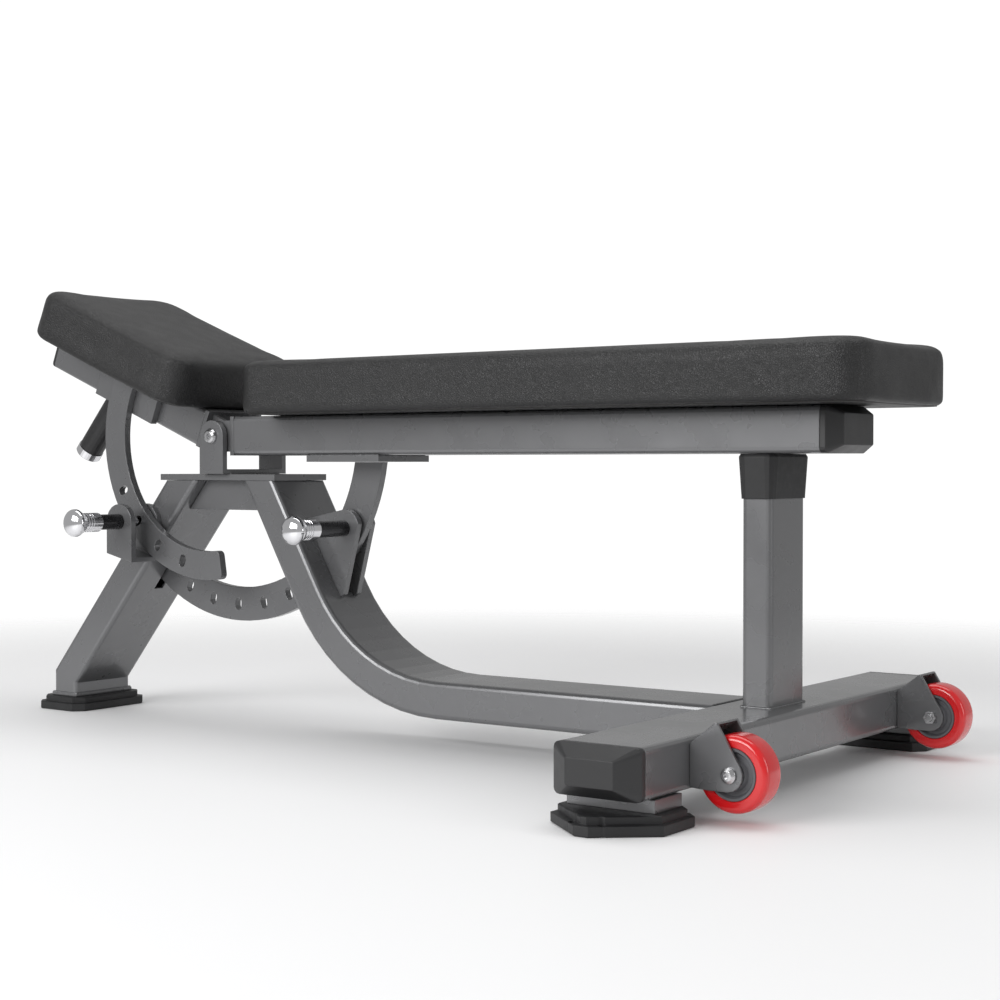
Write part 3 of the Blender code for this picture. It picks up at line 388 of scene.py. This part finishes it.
def pad_profile(thickness, top_edge, low_edge):
    """(inset, height) from the fold under the pad to its top."""
    steps = 5
    for i in range(steps + 1):
        angle = math.pi / 2 * i / steps
        yield low_edge * (1 - math.sin(angle)), low_edge * (1 - math.cos(angle))
    for i in range(steps + 1):
        angle = math.pi / 2 * i / steps
        yield top_edge * (1 - math.cos(angle)), thickness - top_edge * (1 - math.sin(angle))


def pad_box(node, upright):
    """The CAD cushion's lowest and highest corner, measured level from the hinge line."""
    points = [upright @ v.co for v in frame["nodes"][node].data.vertices]
    return ([min(p[i] for p in points) for i in range(3)],
            [max(p[i] for p in points) for i in range(3)])


def swell(item, pinned, pressure, limit):
    """Lets the foam push its cover out, with the underside held to the board."""
    scene = bpy.context.scene
    start = [v.co.copy() for v in item.data.vertices]
    group = item.vertex_groups.new(name="stapled")
    group.add(pinned, 1.0, "REPLACE")
    cloth = item.modifiers.new("cover", "CLOTH")
    cloth.settings.quality = 5
    cloth.settings.use_pressure = True
    cloth.settings.uniform_pressure_force = pressure
    cloth.settings.effector_weights.gravity = 0
    cloth.settings.vertex_group_mass = group.name
    cloth.collision_settings.use_collision = False
    cloth.point_cache.frame_end = CLOTH_FRAMES
    for step in range(1, CLOTH_FRAMES + 1):
        scene.frame_set(step)
    shape = item.evaluated_get(bpy.context.evaluated_depsgraph_get()).data
    moved = [v.co.copy() for v in shape.vertices]
    item.modifiers.remove(cloth)
    item.vertex_groups.remove(group)
    scene.frame_set(1)
    for vertex, before, after in zip(item.data.vertices, start, moved):
        move = after - before
        if move.length > limit:
            move = move.normalized() * limit
        vertex.co = before + move


def make_pad(node, body, tilt, pads):
    """A foam cushion under vinyl, swollen by a cloth simulation, in the place of the CAD cushion."""
    away = Matrix.Translation(HINGE) @ Matrix.Rotation(tilt, 4, "Y")
    low, high = pad_box(node, away.inverted())
    length, width, thickness = (b - a for a, b in zip(low, high))
    centre = Vector(((low[0] + high[0]) / 2, (low[1] + high[1]) / 2, low[2]))
    rings = []
    for inset, rise in pad_profile(thickness - pads.tuck, pads.top_edge, pads.low_edge):
        inset += pads.tuck
        outline = pad_outline(length - 2 * inset, width - 2 * inset, pads.corner - inset)
        rings.append([centre + Vector((x, y, rise)) for x, y in outline])
    bm = bmesh.new()
    skin(bm, rings)
    item = mesh_object(f"{body}_pad", bm, "black_vinyl", math.pi)
    remesh = item.modifiers.new("cover mesh", "REMESH")
    remesh.mode = "VOXEL"
    remesh.voxel_size = pads.cloth_mesh
    shape = item.evaluated_get(bpy.context.evaluated_depsgraph_get())
    mesh = bpy.data.meshes.new_from_object(shape)
    item.modifiers.remove(remesh)
    item.data = mesh
    floor = low[2] + pads.low_edge / 2
    swell(item, [v.index for v in mesh.vertices if v.co.z < floor], pads.pressure,
          pads.move_limit)
    mesh.transform(away)
    mesh.shade_smooth()
    if not mesh.materials:
        mesh.materials.append(finish("black_vinyl"))
    smooth = item.modifiers.new("smooth", "SUBSURF")
    smooth.levels = smooth.render_levels = 1
    stand_for(item, node, body)


# Weld beads

def bead_tree():
    """Ripples of weld laid one after another along every edge of the input."""
    tree = bpy.data.node_groups.new("weld_beads", "GeometryNodeTree")
    face = tree.interface
    face.new_socket("Geometry", in_out="INPUT", socket_type="NodeSocketGeometry")
    for name, default in (("Radius", 0.0017), ("Step", 0.0019)):
        socket = face.new_socket(name, in_out="INPUT", socket_type="NodeSocketFloat")
        socket.default_value = default
        socket.subtype = "DISTANCE"
    face.new_socket("Material", in_out="INPUT", socket_type="NodeSocketMaterial")
    face.new_socket("Geometry", in_out="OUTPUT", socket_type="NodeSocketGeometry")
    given = add(tree, "NodeGroupInput").outputs
    curve = add(tree, "GeometryNodeMeshToCurve", {"Mesh": given["Geometry"]})
    points = add(tree, "GeometryNodeCurveToPoints",
                 {"Curve": curve.outputs["Curve"], "Length": given["Step"]}, mode="LENGTH")
    ripple = add(tree, "GeometryNodeMeshIcoSphere", {"Radius": given["Radius"], "Subdivisions": 2})
    jitter = add(tree, "FunctionNodeRandomValue", {"Min": 0.86, "Max": 1.12, "Seed": 7},
                 data_type="FLOAT")
    laid = add(tree, "GeometryNodeInstanceOnPoints",
               {"Points": points.outputs["Points"], "Instance": ripple.outputs["Mesh"]})
    for socket in jitter.outputs:
        if socket.enabled:
            tree.links.new(socket, laid.inputs["Scale"])
    real = add(tree, "GeometryNodeRealizeInstances", {"Geometry": laid.outputs["Instances"]})
    soft = add(tree, "GeometryNodeSetShadeSmooth", {"Geometry": real.outputs["Geometry"]})
    painted = add(tree, "GeometryNodeSetMaterial",
                  {"Geometry": soft.outputs["Geometry"], "Material": given["Material"]})
    add(tree, "NodeGroupOutput", {"Geometry": painted.outputs["Geometry"]})
    return tree


def set_inputs(modifier, values):
    """Sets a Geometry Nodes modifier's inputs, found by name and written by identifier."""
    for socket in modifier.node_group.interface.items_tree:
        if socket.in_out == "INPUT" and socket.name in values:
            modifier[socket.identifier] = values[socket.name]


def weld(name, body, runs, tree, metal):
    """Weld beads along runs, which are lists of points. A run that ends where it began is a loop."""
    bm = bmesh.new()
    for run in runs:
        dots = [bm.verts.new(p) for p in run]
        for a, b in zip(dots, dots[1:]):
            bm.edges.new((a, b))
    bmesh.ops.remove_doubles(bm, verts=bm.verts, dist=1e-5)
    mesh = bpy.data.meshes.new(name)
    bm.to_mesh(mesh)
    bm.free()
    item = bpy.data.objects.new(name, mesh)
    bpy.context.scene.collection.objects.link(item)
    beads = item.modifiers.new("beads", "NODES")
    beads.node_group = tree
    set_inputs(beads, {"Radius": metal.bead_radius, "Step": metal.bead_step,
                       "Material": finish("frame_paint")})
    shape = item.evaluated_get(bpy.context.evaluated_depsgraph_get())
    solid = bpy.data.meshes.new_from_object(shape)
    item.modifiers.remove(beads)
    item.data = solid
    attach(item, body)


def rectangle(x0, x1, y0, y1, z):
    return [(x0, y0, z), (x1, y0, z), (x1, y1, z), (x0, y1, z), (x0, y0, z)]


# Operators

class BENCH_OT_finish_frame(bpy.types.Operator):
    """Give every CAD part its paint, metal, rubber or plastic"""
    bl_idname = "bench.finish_frame"
    bl_label = "Finish the Frame"

    def execute(self, context):
        make_finishes(context.scene.bench_paint)
        for name, item in frame["nodes"].items():
            look = finish(finish_of(name))
            if not item.material_slots:
                raise RuntimeError(f"{name} has no material slot")
            for slot in item.material_slots:
                slot.material = look
        return {"FINISHED"}


class BENCH_OT_make_pads(bpy.types.Operator):
    """Make the seat and back cushions by cloth simulation"""
    bl_idname = "bench.make_pads"
    bl_label = "Make the Pads"

    def execute(self, context):
        pads = context.scene.bench_pads
        make_pad("back_cushion", "back", 0, pads)
        make_pad("seat_cushion", "seat", SEAT_TILT, pads)
        return {"FINISHED"}


class BENCH_OT_make_wheels(bpy.types.Operator):
    """Turn the two moulded tyres and their hubs"""
    bl_idname = "bench.make_wheels"
    bl_label = "Make the Wheels"

    def execute(self, context):
        segments = context.scene.bench_metal.segments
        for side in ("right", "left"):
            self.make_tyre(side, segments)
            self.make_hub(side, segments)
        return {"FINISHED"}

    def make_tyre(self, side, segments):
        node = f"wheel_tyre_{side}"
        low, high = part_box(node)
        radius, half = (high.z - low.z) / 2, (high.y - low.y) / 2
        hub_low, hub_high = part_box(f"wheel_hub_{side}")
        inner = (hub_high.z - hub_low.z) / 2 + GAP
        centre, steps = radius - TYRE_CROWN - TYRE_EDGE, 8
        profile = [(inner, -half + TYRE_BEVEL), (inner + TYRE_BEVEL, -half)]
        profile += quarter((centre, TYRE_EDGE - half), TYRE_EDGE, -90, steps)
        profile += [(radius, -TREAD_FLAT), (radius, TREAD_FLAT)]
        profile += quarter((centre, half - TYRE_EDGE), TYRE_EDGE, 0, steps)
        profile += [(inner + TYRE_BEVEL, half), (inner, half - TYRE_BEVEL)]
        tyre = turned(f"tyre_{side}", "red_tyre", profile, middle_of(node), (0, 1, 0), segments,
                      loop=True)
        stand_for(tyre, node, f"wheel_{side}")

    def make_hub(self, side, segments):
        node = f"wheel_hub_{side}"
        low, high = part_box(node)
        radius, half = (high.z - low.z) / 2, (high.y - low.y) / 2
        bearing_low, bearing_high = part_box(f"wheel_bearing_{side}")
        bore = (bearing_high.z - bearing_low.z) / 2 + GAP
        dish, lip, ring = HUB_DISH, HUB_LIP, HUB_RING
        slope, foot = ring + 2 * lip, ring + 0.002
        face = [(bore, -half + lip), (bore + lip, -half), (bore + ring - lip, -half),
                (bore + ring, lip - half), (bore + slope, dish - lip - half),
                (bore + foot, dish - half), (radius - foot, dish - half),
                (radius - slope, dish - lip - half), (radius - ring, lip - half),
                (radius - ring + lip, -half), (radius - lip, -half), (radius, lip - half)]
        profile = face + [(r, -along) for r, along in reversed(face)]
        hub = turned(f"hub_{side}", "hub_plastic", profile, middle_of(node), (0, 1, 0), segments,
                     loop=True)
        stand_for(hub, node, f"wheel_{side}")


class BENCH_OT_make_knobs(bpy.types.Operator):
    """Turn the two pull knobs, each with its sleeve, grooves, shank and collar"""
    bl_idname = "bench.make_knobs"
    bl_label = "Make the Pull Knobs"

    def execute(self, context):
        segments = context.scene.bench_metal.segments
        for pin in ("seat_pin", "back_pin"):
            node = f"{pin}_knob"
            low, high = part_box(node)
            profile = self.knob_profile((high.z - low.z) / 2, high.y - low.y)
            centre = middle_of(node)
            knob = turned(f"{pin}_pull", "chrome", profile, (centre.x, low.y, centre.z), (0, 1, 0),
                          segments)
            stand_for(knob, node, pin)
        return {"FINISHED"}

    def knob_profile(self, radius, end):
        """(radius, distance) from the top of the dome to the pin's tip."""
        profile = []
        for degrees in (4, 12, 20, 30, 40, 50, 60, 70, 80, 90):
            turn = math.radians(degrees)
            profile.append((radius * math.sin(turn), DOME * (1 - math.cos(turn))))
        profile += [(radius, 0.0112), (radius - 0.0008, 0.0134), (radius - 0.0030, 0.0152),
                    (SLEEVE + 0.0012, 0.0198), (SLEEVE, 0.0212)]
        for i in range(GROOVES):
            at = GROOVE_START + GROOVE_STEP * i
            profile += [(SLEEVE, at), (SLEEVE - 0.0008, at + 0.0003),
                        (SLEEVE - GROOVE_DEPTH, at + GROOVE_WIDTH / 2),
                        (SLEEVE - 0.0008, at + GROOVE_WIDTH - 0.0003), (SLEEVE, at + GROOVE_WIDTH)]
        profile += [(SLEEVE, SLEEVE_END - 0.0006), (SLEEVE - 0.0006, SLEEVE_END),
                    (SLEEVE_BORE, SLEEVE_END), (SLEEVE_BORE, SLEEVE_FLOOR), (SHANK, SLEEVE_FLOOR),
                    (SHANK, COLLAR_START), (COLLAR, COLLAR_START), (COLLAR, COLLAR_END),
                    (SHANK, COLLAR_END), (SHANK, end - 0.001), (SHANK - 0.001, end)]
        return profile


class BENCH_OT_make_welds(bpy.types.Operator):
    """Lay small painted weld beads where the tubes and plates meet"""
    bl_idname = "bench.make_welds"
    bl_label = "Make the Welds"

    def execute(self, context):
        metal = context.scene.bench_metal
        tree = bead_tree()
        runs = []
        low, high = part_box("support_post")
        runs.append(rectangle(low.x, high.x, low.y, high.y, low.z))
        bar_low, bar_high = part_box("rear_crossbar")
        beam_low, beam_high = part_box("main_beam")
        foot = bar_high.z - BEAM_DEPTH + TUBE_CORNER
        top = bar_high.z - 0.001
        bend = top - 0.005
        x = bar_low.x
        runs.append([(x, beam_low.y, foot), (x, beam_low.y, bend),
                     (x, beam_low.y + TUBE_CORNER, top), (x, beam_high.y - TUBE_CORNER, top),
                     (x, beam_high.y, bend), (x, beam_high.y, foot)])
        low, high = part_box("hinge_bracket")
        for side in (low.x, high.x):
            end = HALF_TUBE - 0.005
            runs.append([(side, -end, low.z), (side, end, low.z)])
        low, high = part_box("front_base_plate")
        lip = PLATE_LIP
        runs.append(rectangle(low.x + lip, high.x - lip, low.y + lip, high.y - lip, high.z))
        weld("frame_welds", "frame", runs, tree, metal)
        low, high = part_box("back_doubler")
        runs = [[(low.x + 0.004, y, high.z), (high.x - 0.004, y, high.z)]
                for y in (low.y + 0.005, high.y - 0.005)]
        weld("back_welds", "back", runs, tree, metal)
        return {"FINISHED"}


class BENCH_OT_set_stage(bpy.types.Operator):
    """Set the pale floor, the soft lights and the camera"""
    bl_idname = "bench.set_stage"
    bl_label = "Set the Stage"

    def execute(self, context):
        studio = context.scene.bench_studio
        self.lay_floor()
        self.light_world(context.scene, studio)
        self.hang_lights()
        self.place_camera(context.scene, studio)
        return {"FINISHED"}

    def lay_floor(self):
        mat = bpy.data.materials.new("studio_floor")
        mat.use_nodes = True
        tree = mat.node_tree
        shader = tree.nodes["Principled BSDF"]
        shader.inputs["Base Color"].default_value = (0.93, 0.93, 0.935, 1)
        shader.inputs["Roughness"].default_value = 0.55
        place = add(tree, "ShaderNodeTexCoord").outputs["Object"]
        reach = add(tree, "ShaderNodeVectorMath", {0: place}, operation="LENGTH").outputs["Value"]
        fade = add(tree, "ShaderNodeMapRange", {"Value": reach, "From Min": 0.9, "From Max": 2.4},
                   interpolation_type="SMOOTHSTEP")
        clear = add(tree, "ShaderNodeBsdfTransparent")
        mixed = add(tree, "ShaderNodeMixShader", {0: fade.outputs["Result"],
                                                  1: shader.outputs["BSDF"],
                                                  2: clear.outputs["BSDF"]})
        tree.links.new(mixed.outputs["Shader"], tree.nodes["Material Output"].inputs["Surface"])
        bm = bmesh.new()
        bmesh.ops.create_grid(bm, x_segments=8, y_segments=8, size=6.0)
        mesh = bpy.data.meshes.new("studio_floor")
        bm.to_mesh(mesh)
        bm.free()
        mesh.materials.append(mat)
        floor = bpy.data.objects.new("studio_floor", mesh)
        bpy.context.scene.collection.objects.link(floor)
        floor.location.z = CAD_BOX[0].z - 0.0002

    def light_world(self, scene, studio):
        """White surroundings, which look brighter than the light that they give."""
        world = bpy.data.worlds.new("studio")
        world.use_nodes = True
        tree = world.node_tree
        sky = tree.nodes["Background"]
        sky.inputs["Color"].default_value = (1, 1, 1, 1)
        seen = add(tree, "ShaderNodeLightPath").outputs["Is Camera Ray"]
        strength = add(tree, "ShaderNodeMapRange", {"Value": seen, "To Min": studio.world_light,
                                                    "To Max": 1.05})
        tree.links.new(strength.outputs["Result"], sky.inputs["Strength"])
        scene.world = world
        scene.view_settings.view_transform = "Standard"

    def hang_lights(self):
        """Each light is aimed at the middle of the bench."""
        target = Vector((0, 0, 0.3))
        for name, place, size, power in (
                ("key_softbox", (-0.6, -3.2, 1.5), (2.6, 1.4), 85),
                ("side_softbox", (3.4, 0.2, 1.0), (0.9, 1.8), 16),
                ("overhead_softbox", (0.0, 0.3, 3.2), (3.0, 2.0), 42)):
            lamp = bpy.data.lights.new(name, "AREA")
            lamp.shape = "RECTANGLE"
            lamp.size, lamp.size_y = size
            lamp.energy = power
            item = bpy.data.objects.new(name, lamp)
            bpy.context.scene.collection.objects.link(item)
            item.location = place
            item.rotation_euler = (target - Vector(place)).to_track_quat("-Z", "Y").to_euler()

    def place_camera(self, scene, studio):
        camera = bpy.data.cameras.new("camera")
        camera.lens = studio.lens
        item = bpy.data.objects.new("camera", camera)
        scene.collection.objects.link(item)
        item.location = Vector((HINGE.x, 0, 0)) + Vector(studio.eye)
        item.rotation_euler = (math.pi / 2 - studio.pitch, 0, studio.heading)
        scene.camera = item


OPERATORS = (BENCH_OT_finish_frame, BENCH_OT_make_pads, BENCH_OT_make_wheels,
             BENCH_OT_make_knobs, BENCH_OT_make_welds, BENCH_OT_set_stage)


SETTINGS = {
    "bench_paint": BenchPaintSettings,
    "bench_pads": BenchPadSettings,
    "bench_metal": BenchMetalSettings,
    "bench_studio": BenchStudioSettings,
}


class BENCH_PT_finish(bpy.types.Panel):
    """Shows the bench's settings and the buttons of its operators"""
    bl_label = "Weight Bench"
    bl_idname = "BENCH_PT_finish"
    bl_space_type = "VIEW_3D"
    bl_region_type = "UI"
    bl_category = "Bench"

    def draw(self, context):
        for settings in SETTINGS:
            group = getattr(context.scene, settings)
            for name in group.bl_rna.properties.keys():
                if name not in ("name", "rna_type"):
                    self.layout.prop(group, name)
        for operator in OPERATORS:
            self.layout.operator(operator.bl_idname)


def register():
    for cls in (*SETTINGS.values(), *OPERATORS, BENCH_PT_finish):
        bpy.utils.register_class(cls)
    for name, cls in SETTINGS.items():
        setattr(bpy.types.Scene, name, PointerProperty(type=cls))


def unregister():
    for name in SETTINGS:
        delattr(bpy.types.Scene, name)
    for cls in (BENCH_PT_finish, *OPERATORS, *SETTINGS.values()):
        bpy.utils.unregister_class(cls)


def main():
    register()
    bpy.ops.bench.set_stage()
    bpy.ops.bench.finish_frame()
    bpy.ops.bench.make_pads()
    bpy.ops.bench.make_wheels()
    bpy.ops.bench.make_knobs()
    bpy.ops.bench.make_welds()


if __name__ == "__main__":
    main()
